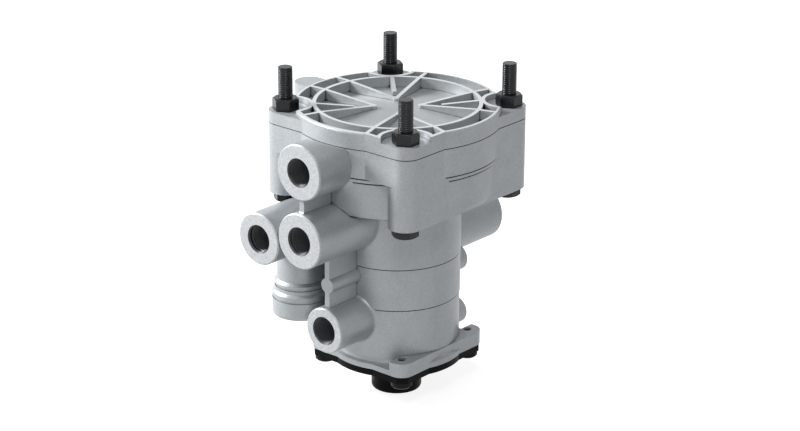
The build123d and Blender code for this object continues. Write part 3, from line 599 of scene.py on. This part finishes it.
def round_edges(
    piece: bpy.types.Object, width: float, angle: float = 32.0, steps: int = 2, slot: int = -1
) -> None:
    """Rounds the sharp edges of a piece, and keeps the wide faces flat to the light.

    Args:
        piece: The object.
        width: Width of the rounding in metres.
        angle: Edges that turn by more than this many degrees are rounded.
        steps: Segments across the rounding.
        slot: Number of the material slot for the rounded edges, or -1 for that of the faces.
    """
    activate(piece)
    bevel = piece.modifiers.new("rounding", "BEVEL")
    bevel.width = width
    bevel.segments = steps
    bevel.limit_method = "ANGLE"
    bevel.angle_limit = math.radians(angle)
    bevel.harden_normals = False
    bevel.miter_outer = "MITER_ARC"
    bevel.material = slot
    bpy.ops.object.modifier_apply(modifier=bevel.name)
    even_normals(piece)


def sort_roundings(piece: bpy.types.Object, outer: int, inner: int) -> None:
    """Gives the rounded inner edges another material slot than the outer ones.

    Args:
        piece: The object, whose rounded edges all have the outer slot.
        outer: Slot of the outer edges.
        inner: Slot for the inner edges.
    """
    mesh = piece.data
    sides: dict[tuple[int, int], list[tuple[int, Vector, Vector]]] = {}
    for polygon in mesh.polygons:
        corners = list(polygon.vertices)
        for first, second in zip(corners, corners[1:] + corners[:1]):
            along = mesh.vertices[second].co - mesh.vertices[first].co
            entry = (polygon.index, polygon.normal.copy(), polygon.normal.cross(along).normalized())
            sides.setdefault((min(first, second), max(first, second)), []).append(entry)
    # The bend at an edge is positive where the two faces meet at an outer edge.
    turns = [0.0] * len(mesh.polygons)
    for pair in sides.values():
        if len(pair) == 2:
            bend = -pair[1][2].dot(pair[0][1])
            turns[pair[0][0]] += bend
            turns[pair[1][0]] += bend
    for polygon in mesh.polygons:
        if polygon.material_index == outer and turns[polygon.index] <= 0:
            polygon.material_index = inner


def split_faces(piece: bpy.types.Object) -> None:
    """Cuts the faces of many corners into triangles, which no reader can fill wrongly.

    Args:
        piece: The object.
    """
    activate(piece)
    split = piece.modifiers.new("triangles", "TRIANGULATE")
    split.min_vertices = 5
    split.keep_custom_normals = True
    bpy.ops.object.modifier_apply(modifier=split.name)


def helical_ridge(
    foot_r: float,
    crest_r: float,
    pitch: float,
    low: float,
    high: float,
    crest: float = 0.14,
    foot: float = 0.94,
) -> bpy.types.Object:
    """Makes a closed helical ridge of whole turns about the Z axis.

    Args:
        foot_r: Radius at the foot of the ridge.
        crest_r: Radius at its crest, larger than the foot's for an outer thread.
        pitch: Rise in one turn.
        low: Height where it starts.
        high: Height that it doesn't pass.
        crest: Width of the crest as a part of the pitch.
        foot: Width of the foot as a part of the pitch.

    Returns:
        The ridge.
    """
    deselect_all()
    bpy.ops.mesh.primitive_plane_add(size=1, location=(0, 0, 0))
    ridge = bpy.context.object
    corners = (
        (foot_r, -0.5 * foot * pitch),
        (crest_r, -0.5 * crest * pitch),
        (foot_r, 0.5 * foot * pitch),
        (crest_r, 0.5 * crest * pitch),
    )
    for vertex, (radius, height) in zip(ridge.data.vertices, corners):
        vertex.co = (radius, 0, low + 0.5 * pitch + height)
    screw = ridge.modifiers.new("helix", "SCREW")
    screw.axis = "Z"
    screw.screw_offset = pitch
    screw.iterations = math.floor((high - low) / pitch) - 1
    screw.steps = THREAD_STEPS
    screw.render_steps = THREAD_STEPS
    screw.use_merge_vertices = True
    bpy.ops.object.modifier_apply(modifier=screw.name)
    bpy.ops.object.mode_set(mode="EDIT")
    bpy.ops.mesh.select_all(action="SELECT")
    bpy.ops.mesh.fill_holes(sides=4)
    bpy.ops.mesh.select_all(action="SELECT")
    bpy.ops.mesh.normals_make_consistent(inside=False)
    bpy.ops.object.mode_set(mode="OBJECT")
    return ridge


@dataclass
class Castings:
    """The valve body and the top cover: copies of the CAD solids with the edges of a casting."""

    body_edge: float = 0.22 * MM
    body_edge_deg: float = 22.0
    cover_edge: float = 0.18 * MM
    line_depth: float = 0.3 * MM
    port_bore: float = 7.25 * MM
    port_root: float = 8.0 * MM
    port_pitch: float = 1.5 * MM
    port_face_r: float = 17.0 * MM
    thread_sink: float = 0.1 * MM
    thread_past: float = 0.7 * MM  # how far the thread runs past the depth that is stated
    mouth: float = 8.2 * MM
    mouth_depth: float = 0.9 * MM
    face_gap: float = 1.0 * MM  # from a port's stated point out to the face of its boss
    tapped_depth: float = 20.0 * MM
    bore_depth: float = 40.0 * MM
    near: float = 0.06 * MM  # how far a corner may lie from the round wall or face it is on
    near_bore: float = 0.05 * MM
    across: float = 0.1  # most that the normal of a bore's wall has along the bore
    upright: float = 0.9  # least that the normal of a port face has along the bore
    upward: float = 0.85  # least that the normal of a rib's top has along Z
    lines: tuple[tuple[float, float, float], ...] = (  # wall radius, upper edge and height of each
        (56.6 * MM, -29.4 * MM, 0.95 * MM),
        (55.6 * MM, -31.9 * MM, 1.05 * MM),
        (35.4 * MM, -88.8 * MM, 0.6 * MM),
        (35.1 * MM, -112.9 * MM, 0.6 * MM),
    )
    joint: float = -13.8 * MM
    joint_height: float = 0.5 * MM
    rib_level: float = -6.4 * MM  # what faces up above it is the top of a rib or of the rim
    wheel_r: float = 57.3 * MM  # radius of the round cover, without its ears
    port_faces: dict[str, tuple[float, float, float, float]] = field(default_factory=dict)

    def read_ports(self) -> None:
        """Reads the centres of the port faces from the record's mounts."""
        for mount in frame["record"]["mounts"]:
            if mount["name"].startswith("port"):
                x, y, z = mount["pos_m"]
                outward = mount["axis"][1]
                face_y = y + outward * self.face_gap
                self.port_faces[mount["name"]] = (x, face_y, z, outward)

    def widen_bores(self, body: bpy.types.Object) -> None:
        """Sets the walls of the tapped bores back to the roots of their threads.

        Args:
            body: The valve body.
        """
        chosen = []
        for polygon in body.data.polygons:
            for x, y, z, outward in self.port_faces.values():
                depth = (y - polygon.center.y) * outward
                points = [body.data.vertices[index].co for index in polygon.vertices]
                radius = max(math.hypot(point.x - x, point.z - z) for point in points)
                level = abs(polygon.normal.y) < self.across
                at_bore = abs(radius - self.port_bore) < self.near_bore
                if level and at_bore and 0 < depth < self.tapped_depth:
                    chosen.append(polygon.index)
        edit_faces(body, chosen)
        bpy.ops.mesh.extrude_region_shrink_fatten(
            TRANSFORM_OT_shrink_fatten={"value": self.port_bore - self.port_root}
        )
        close_edit()

    def wall_faces(
        self, body: bpy.types.Object, radius: float, low: float, high: float
    ) -> list[int]:
        """Finds the faces of a round wall that reach into a band of heights.

        Args:
            body: The valve body.
            radius: Radius of the wall.
            low: Lower end of the band.
            high: Upper end of the band.

        Returns:
            The numbers of the faces.
        """
        vertices = body.data.vertices
        found = []
        for polygon in body.data.polygons:
            points = [vertices[index].co for index in polygon.vertices]
            middle = polygon.center.xy.length
            if (
                polygon.normal.xy.dot(polygon.center.xy) > ALONG_RADIUS * middle
                and min(point.z for point in points) < high - TOUCH
                and max(point.z for point in points) > low + TOUCH
                and all(abs(point.xy.length - radius) < self.near for point in points)
            ):
                found.append(polygon.index)
        return found

    def scribe(self, body: bpy.types.Object) -> None:
        """Sinks fine grooves about the barrel and the band into the casting, and paints shade on
        their floors.

        Args:
            body: The valve body.
        """
        for radius, high, height in self.lines:
            low = high - height
            edit_faces(body, self.wall_faces(body, radius, low, high))
            bpy.ops.mesh.bisect(plane_co=(0, 0, low), plane_no=(0, 0, 1))
            close_edit()
            found = self.wall_faces(body, radius, low, high)
            edit_faces(body, found)
            bpy.ops.mesh.extrude_region_shrink_fatten(
                TRANSFORM_OT_shrink_fatten={"value": -self.line_depth}
            )
            # painted shade on the floor of the groove
            body.active_material_index = CastSlot.LINE
            bpy.ops.object.material_slot_assign()
            close_edit()
            log.info("line at %.1f mm on %d faces", high / MM, len(found))

    def port_threads(self) -> list[bpy.types.Object]:
        """Makes the inner threads of the ports.

        Returns:
            One helical ridge for each port.
        """
        threads = []
        for mount in frame["record"]["mounts"]:
            if not mount["name"].startswith("port"):
                continue
            x, y, z, outward = self.port_faces[mount["name"]]
            depth = mount["dims"]["length_mm"] * MM + self.thread_past
            ridge = helical_ridge(
                self.port_root + self.thread_sink,
                self.port_bore,
                self.port_pitch,
                -depth,
                -self.mouth_depth - self.thread_sink,
            )
            ridge.rotation_euler = (-outward * math.pi / 2, 0, 0)
            ridge.location = (x, y, z)
            bake_place(ridge)
            bpy.ops.object.shade_smooth_by_angle(angle=math.radians(SMOOTH_DEG))
            threads.append(ridge)
        return threads

    def paint_ports(self, body: bpy.types.Object) -> None:
        """Gives the port faces their turned finish, and paints shade on the walls, threads and
        mouths of the bores.

        Args:
            body: The valve body.
        """
        body.data.materials.append(BORE_SHADE.build())
        bore_shade_index = len(body.data.materials) - 1
        for name, (x, y, z, outward) in self.port_faces.items():
            face = TurnedAluminium(name=f"turned_{name}", centre=(x, y, z)).build()
            body.data.materials.append(face)
            index = len(body.data.materials) - 1
            for polygon in body.data.polygons:
                middle = polygon.center
                radius = math.hypot(middle.x - x, middle.z - z)
                depth = (y - middle.y) * outward
                upright = abs(polygon.normal.y) > self.upright
                if upright and radius < self.port_face_r and abs(depth) < self.near:
                    polygon.material_index = index
                # painted shade in the bores
                elif radius < self.mouth and 0 < depth < self.bore_depth:
                    polygon.material_index = bore_shade_index

    def paint_joint_shade(self, body: bpy.types.Object, cover: bpy.types.Object) -> None:
        """Paints shade into the narrow groove between the cover and the body, with the finish of
        the lines.

        Args:
            body: The valve body.
            cover: The top cover.
        """
        reach = 1.5 * self.body_edge
        for polygon in body.data.polygons:
            rounded = polygon.material_index in (CastSlot.PAINTED_HIGHLIGHT, CastSlot.PAINTED_CREASE_SHADE)
            if rounded and abs(polygon.center.z - self.joint) < reach:
                polygon.material_index = CastSlot.LINE
        for polygon in cover.data.polygons:
            height = polygon.center.z - self.joint
            highlit = polygon.material_index == CastSlot.PAINTED_HIGHLIGHT
            if TOUCH < height < self.joint_height + TOUCH:
                polygon.material_index = CastSlot.LINE
            elif highlit and height < self.joint_height + self.cover_edge:
                polygon.material_index = CastSlot.CAST

    def paint_rib_highlights(self, cover: bpy.types.Object) -> None:
        """Paints highlights on the tops of the ribs and rims.

        Args:
            cover: The top cover.
        """
        for polygon in cover.data.polygons:
            middle = polygon.center
            if (
                polygon.normal.z > self.upward
                and middle.z > self.rib_level
                and math.hypot(middle.x, middle.y) < self.wheel_r
            ):
                polygon.material_index = CastSlot.PAINTED_HIGHLIGHT

    def build(self) -> None:
        """Builds and dresses both castings."""
        finishes = [
            finish.build()
            for finish in (CastAluminium(), HIGHLIGHT_PAINTED_CASTING, CREASE_SHADE_CASTING, LINE_SHADE_CASTING)
        ]
        self.read_ports()
        body = copy_of("valve_body", "body_casting")
        dress(body, *finishes)
        self.scribe(body)
        self.widen_bores(body)
        settle_order(body)
        # painted highlight on the rounded outer edges, painted shade on the inner ones
        round_edges(body, self.body_edge, self.body_edge_deg, slot=CastSlot.PAINTED_HIGHLIGHT)
        sort_roundings(body, CastSlot.PAINTED_HIGHLIGHT, CastSlot.PAINTED_CREASE_SHADE)
        body = join([body] + self.port_threads(), "body_casting")
        self.paint_ports(body)
        cover = copy_of("top_cover", "cover_casting")
        dress(cover, *finishes)
        # painted highlight on the rounded outer edges, painted shade on the inner ones
        round_edges(cover, self.cover_edge, slot=CastSlot.PAINTED_HIGHLIGHT)
        sort_roundings(cover, CastSlot.PAINTED_HIGHLIGHT, CastSlot.PAINTED_CREASE_SHADE)
        self.paint_rib_highlights(cover)
        self.paint_joint_shade(body, cover)
        for piece, node in ((body, "valve_body"), (cover, "top_cover")):
            split_faces(piece)
            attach(piece, "housing")
            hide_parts(node)
            log.info("%s has %d faces", piece.name, len(piece.data.polygons))


@dataclass
class Fasteners:
    """The four cover bolts with their threads, and the four nuts."""

    pitch: float = 1.25 * MM
    crest_r: float = 4.0 * MM
    root_r: float = 3.91 * MM
    crest: float = 0.4  # width of the thread's crest as a part of the pitch
    thread_sink: float = 0.1 * MM
    end_gap: float = 0.18 * MM
    cut: float = -0.5 * MM  # below it the bolts stay as they are in the CAD
    foot: float = -0.9 * MM  # the threaded ends start here, inside the nuts
    end_edge: float = 0.35 * MM
    shank_edge: float = 0.2 * MM
    nut_edge: float = 0.25 * MM
    core_sides: int = 36

    def build(self) -> None:
        """Builds and dresses the bolts and nuts."""
        steel = BLACK_ZINC.build()
        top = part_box("cover_bolts")[1].z
        bolts = copy_of("cover_bolts", "bolts_plain")
        bpy.ops.object.mode_set(mode="EDIT")
        bpy.ops.mesh.select_all(action="SELECT")
        bpy.ops.mesh.bisect(
            plane_co=(0, 0, self.cut), plane_no=(0, 0, 1), clear_outer=True, use_fill=True
        )
        bpy.ops.object.mode_set(mode="OBJECT")
        round_edges(bolts, self.shank_edge)
        deselect_all()
        bpy.ops.mesh.primitive_cylinder_add(
            vertices=self.core_sides,
            radius=self.root_r,
            depth=top - self.foot,
            location=(0, 0, (top + self.foot) / 2),
        )
        core = bpy.context.object
        round_edges(core, self.end_edge)
        thread = helical_ridge(
            self.root_r - self.thread_sink,
            self.crest_r,
            self.pitch,
            -self.pitch,
            top - self.end_gap,
            self.crest,
        )
        stud = join([core, thread], "stud")
        bake_place(stud)
        half = frame["record"]["mounts"][0]["dims"]["spacing_x_mm"] / 2 * MM
        studs = []
        for sign_x in (-1, 1):
            for sign_y in (-1, 1):
                copy = stud.copy()
                copy.data = stud.data.copy()
                bpy.context.scene.collection.objects.link(copy)
                copy.location = (sign_x * half, sign_y * half, 0)
                bake_place(copy)
                studs.append(copy)
        bpy.data.objects.remove(stud)
        bolts = join([bolts] + studs, "cover_bolts_threaded")
        activate(bolts)
        bpy.ops.object.shade_smooth_by_angle(angle=math.radians(SMOOTH_DEG))
        dress(bolts, steel)
        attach(bolts, "housing")
        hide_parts("cover_bolts")
        nuts = copy_of("cover_nuts", "cover_nuts_dressed")
        round_edges(nuts, self.nut_edge)
        dress(nuts, steel)
        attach(nuts, "housing")
        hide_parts("cover_nuts")
        for piece in (bolts, nuts):
            log.info("%s has %d faces", piece.name, len(piece.data.polygons))


@dataclass
class Springs:
    """The four coil springs: copies of the CAD springs with smooth normals and the finish of the
    wire.
    """

    driven_by: dict[str, str] = field(
        default_factory=lambda: {
            "control_spring": "control_stroke",
            "relay_spring": "relay_stroke",
            "valve_spring": "inlet_lift",
            "throttle_spring": "throttle_stroke",
        }
    )
    smooth_deg: float = 40.0

    def build(self, wire: bpy.types.Material) -> None:
        """Builds and dresses the springs.

        Args:
            wire: The finish of the wire.
        """
        for node, joint in self.driven_by.items():
            spring = copy_of(node, f"{node}_coil")
            even_normals(spring, self.smooth_deg)
            dress(spring, wire)
            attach(spring, "housing")
            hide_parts(node)
            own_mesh(spring)


@dataclass
class Internals:
    """The inner pieces and the black ones below: CAD solids that only get their finishes."""

    finishes: dict[str, tuple[str, ...]] = field(
        default_factory=lambda: {
            Finish.MACHINED.value: (
                "control_piston", "relay_piston", "valve_seat_insert", "throttle_cap",
            ),
            Finish.BRASS.value: ("valve_tube", "throttle_piston"),
            Finish.BLACK_STEEL.value: ("bottom_screws",),
            Finish.SPRING_STEEL.value: ("snap_ring",),
            Finish.BLACK_PLASTIC.value: ("bottom_cover", "exhaust_stub"),
            Finish.GREY_PLASTIC.value: ("valve_guide",),
            Finish.RUBBER.value: (
                "cover_seal", "stem_seal", "control_piston_seal", "relay_piston_seal",
                "seat_insert_seal", "valve_disc", "guide_outer_seal", "guide_inner_seal",
                "exhaust_flap", "throttle_piston_seal", "throttle_cap_seal",
            ),
        }
    )

    def build(self) -> None:
        """Dresses every node, and has the springs made."""
        made = {
            Finish.MACHINED.value: TurnedAluminium(along="Z").build(),
            Finish.BRASS.value: TURNED_BRASS.build(),
            Finish.BLACK_STEEL.value: BLACK_OXIDE.build(),
            Finish.SPRING_STEEL.value: SPRING_WIRE.build(),
            Finish.BLACK_PLASTIC.value: MOULDED_NYLON.build(),
            Finish.GREY_PLASTIC.value: MOULDED_ACETAL.build(),
            Finish.RUBBER.value: NITRILE.build(),
        }
        for slot, nodes in self.finishes.items():
            for node in nodes:
                dress(frame["nodes"][node], made[slot])
            log.info("%s on %d nodes", slot, len(nodes))
        Springs().build(made[Finish.SPRING_STEEL.value])


@dataclass(frozen=True)
class Lamp:
    """A square soft lamp that faces the object.

    The azimuth is 0 towards -Y and 90 towards +X. Angles are in degrees, power is in watts.
    """

    name: str
    azimuth: float
    elevation: float
    distance: float
    side: float
    power: float


def direction(azimuth: float, elevation: float) -> Vector:
    """Gives the direction from the object for two angles.

    Args:
        azimuth: Degrees from -Y towards +X.
        elevation: Degrees above the horizon.

    Returns:
        A vector of length 1.
    """
    turn = math.radians(azimuth)
    tilt = math.radians(elevation)
    return Vector(
        (math.sin(turn) * math.cos(tilt), -math.cos(turn) * math.cos(tilt), math.sin(tilt))
    )


@dataclass
class Studio:
    """Floor, world, lamps and the camera at the photograph's angle."""

    azimuth: float = 40.877
    elevation: float = 20.711
    roll: float = 0.286
    distance: float = 1.4095
    focus_px: float = 2540.6
    image_px: float = 800.0
    sensor_mm: float = 36.0
    aim_right: float = 1.59 * MM
    aim_height: float = -70.26 * MM
    clip: tuple[float, float] = (0.05, 20.0)
    floor_side: float = 6.0
    floor_gap: float = 0.05 * MM
    floor_colour: str = "#b0b1b2"
    floor_glow: float = 0.88  # brings the lit floor up to white where it is seen
    world_light: float = 0.12
    lamps: tuple[Lamp, ...] = (
        Lamp("key", -60, 28, 1.3, 0.4, 25.5),
        Lamp("front", 42, 42, 1.4, 0.3, 4.2),
        Lamp("top", 30, 80, 1.4, 0.6, 3),
        Lamp("rim", 150, 35, 1.5, 0.8, 0.6),
    )

    def camera(self) -> None:
        """Sets the camera where the photograph was taken from."""
        turn = math.radians(self.azimuth)
        roll = math.radians(self.roll)
        right = Vector((math.cos(turn), math.sin(turn), 0))
        back = direction(self.azimuth, self.elevation)
        up = back.cross(right)
        side = right * math.cos(roll) + up * math.sin(roll)
        top = up * math.cos(roll) - right * math.sin(roll)
        data = bpy.data.cameras.new("photo_camera")
        data.sensor_width = self.sensor_mm
        data.lens = self.focus_px / self.image_px * self.sensor_mm
        data.clip_start, data.clip_end = self.clip
        camera = bpy.data.objects.new("photo_camera", data)
        bpy.context.scene.collection.objects.link(camera)
        place = right * self.aim_right + Vector((0, 0, self.aim_height)) + back * self.distance
        turned = Matrix((side, top, back)).transposed().to_4x4()
        camera.matrix_world = Matrix.Translation(place) @ turned
        bpy.context.scene.camera = camera

    def rays_seen(self, tree: bpy.types.NodeTree) -> bpy.types.NodeSocket:
        """Tells the rays that show a surface, direct or in a mirror or glass, from the rest.

        Args:
            tree: The node tree.

        Returns:
            1 for camera, glossy and transmission rays, and 0 for the rest.
        """
        path = add_node(tree, "ShaderNodeLightPath")
        links = {0: path.outputs["Is Camera Ray"], 1: path.outputs["Is Glossy Ray"]}
        first = add_node(tree, "ShaderNodeMath", {"operation": "MAXIMUM"}, links)
        links = {0: first.outputs[0], 1: path.outputs["Is Transmission Ray"]}
        return add_node(tree, "ShaderNodeMath", {"operation": "MAXIMUM"}, links).outputs[0]

    def world(self) -> None:
        """White where it is seen, and a plain soft light elsewhere."""
        world = bpy.data.worlds.new("studio")
        bpy.context.scene.world = world
        world.use_nodes = True
        tree = world.node_tree
        tree.nodes.clear()
        seen = self.rays_seen(tree)
        soft = add_node(tree, "ShaderNodeBackground", {"Strength": self.world_light})
        soft.inputs["Color"].default_value = (1, 1, 1, 1)
        white = add_node(tree, "ShaderNodeBackground", {"Strength": 1.0})
        white.inputs["Color"].default_value = (1, 1, 1, 1)
        links = {0: seen, 1: soft.outputs[0], 2: white.outputs[0]}
        mixed = add_node(tree, "ShaderNodeMixShader", links=links)
        add_node(tree, "ShaderNodeOutputWorld", links={"Surface": mixed.outputs[0]})

    def floor(self) -> None:
        """A pale floor under the exhaust stub, which keeps the shadow."""
        deselect_all()
        level = CAD_BOX[0][2] - self.floor_gap
        bpy.ops.mesh.primitive_plane_add(size=self.floor_side, location=(0, 0, level))
        floor = bpy.context.object
        floor.name = "floor"
        material = bpy.data.materials.new("pale_floor")
        material.use_nodes = True
        tree = material.node_tree
        tree.nodes.clear()
        seen = self.rays_seen(tree)
        matt = add_node(tree, "ShaderNodeBsdfDiffuse", {"Color": linear(self.floor_colour)})
        settings = {"Color": (1, 1, 1, 1), "Strength": self.floor_glow}
        glow = add_node(tree, "ShaderNodeEmission", settings)
        both = add_node(tree, "ShaderNodeAddShader", links={0: matt.outputs[0], 1: glow.outputs[0]})
        links = {0: seen, 1: matt.outputs[0], 2: both.outputs[0]}
        mixed = add_node(tree, "ShaderNodeMixShader", links=links)
        add_node(tree, "ShaderNodeOutputMaterial", links={"Surface": mixed.outputs[0]})
        dress(floor, material)
        bake_place(floor)

    def light(self, lamp: Lamp) -> None:
        """Adds one lamp.

        Args:
            lamp: Its place, size and power.
        """
        away = direction(lamp.azimuth, lamp.elevation)
        data = bpy.data.lights.new(lamp.name, "AREA")
        data.shape = "SQUARE"
        data.size = lamp.side
        data.energy = lamp.power
        piece = bpy.data.objects.new(lamp.name, data)
        bpy.context.scene.collection.objects.link(piece)
        piece.location = Vector((0, 0, self.aim_height)) + away * lamp.distance
        piece.rotation_euler = away.to_track_quat("Z", "Y").to_euler()

    def build(self) -> None:
        """Builds the studio."""
        bpy.context.scene.view_settings.view_transform = "Standard"
        self.camera()
        self.world()
        self.floor()
        for lamp in self.lamps:
            self.light(lamp)
        log.info("studio with %d lamps", len(self.lamps))


def main() -> None:
    """Builds the castings, the fasteners, the inner pieces and the studio."""
    logging.basicConfig(level=logging.INFO, format="%(name)s: %(message)s")
    Castings().build()
    Fasteners().build()
    Internals().build()
    Studio().build()


if __name__ == "__main__":
    main()
